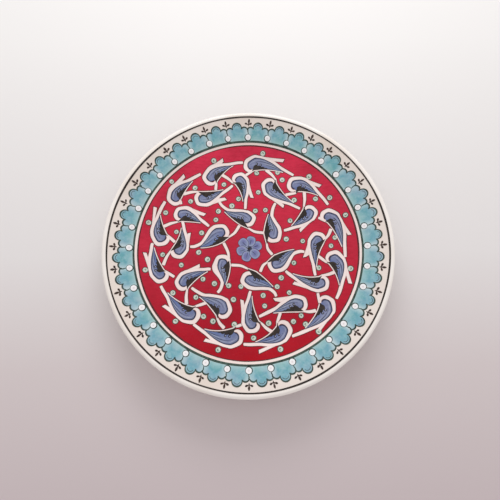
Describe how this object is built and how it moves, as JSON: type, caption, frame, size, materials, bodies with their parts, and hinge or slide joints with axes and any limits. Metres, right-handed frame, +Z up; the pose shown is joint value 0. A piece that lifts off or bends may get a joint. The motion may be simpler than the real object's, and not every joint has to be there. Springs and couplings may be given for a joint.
{
  "type": "decorated ceramic plate",
  "caption": "Round ceramic plate with a wide sloping rim and a foot ring, hand painted with curling leaves on red inside a border of turquoise petals.",
  "frame": {"origin": "centre of the foot ring, on the surface the plate stands on", "axes": "+Z up along the plate's axis of turning, out of the painted face; +Y towards the top of the painting, +X to its right"},
  "size_m": [0.2498, 0.2498, 0.025],
  "materials": {
    "clay": "matte",
    "white_glaze": "glossy glaze",
    "red_paint": "glossy glaze",
    "green_line": "glossy glaze",
    "black_line": "glossy glaze",
    "turquoise_paint": "glossy glaze",
    "violet_paint": "glossy glaze",
    "blue_paint": "glossy glaze",
    "cream_paint": "glossy glaze",
    "mint_paint": "glossy glaze"
  },
  "bodies": {
    "root": {"clay_body": "clay", "white_glaze": "white_glaze", "red_ground": "red_paint", "inner_line": "green_line", "outer_line": "black_line", "petal_band": "turquoise_paint", "centre_flower": "violet_paint", "leaf_inner_1": "blue_paint", "leaf_inner_2": "blue_paint", "leaf_inner_3": "blue_paint", "leaf_inner_4": "blue_paint", "leaf_inner_5": "blue_paint", "leaf_inner_6": "blue_paint", "leaf_upright_1": "blue_paint", "leaf_upright_2": "blue_paint", "leaf_upright_3": "blue_paint", "leaf_upright_4": "blue_paint", "leaf_upright_5": "blue_paint", "leaf_upright_6": "blue_paint", "leaf_slanting_1": "blue_paint", "leaf_slanting_2": "blue_paint", "leaf_slanting_3": "blue_paint", "leaf_slanting_4": "blue_paint", "leaf_slanting_5": "blue_paint", "leaf_slanting_6": "blue_paint", "leaf_outer_left_1": "blue_paint", "leaf_outer_left_2": "blue_paint", "leaf_outer_left_3": "blue_paint", "leaf_outer_left_4": "blue_paint", "leaf_outer_left_5": "blue_paint", "leaf_outer_left_6": "blue_paint", "leaf_outer_right_1": "blue_paint", "leaf_outer_right_2": "blue_paint", "leaf_outer_right_3": "blue_paint", "leaf_outer_right_4": "blue_paint", "leaf_outer_right_5": "blue_paint", "leaf_outer_right_6": "blue_paint"}
  },
  "joints": []
}
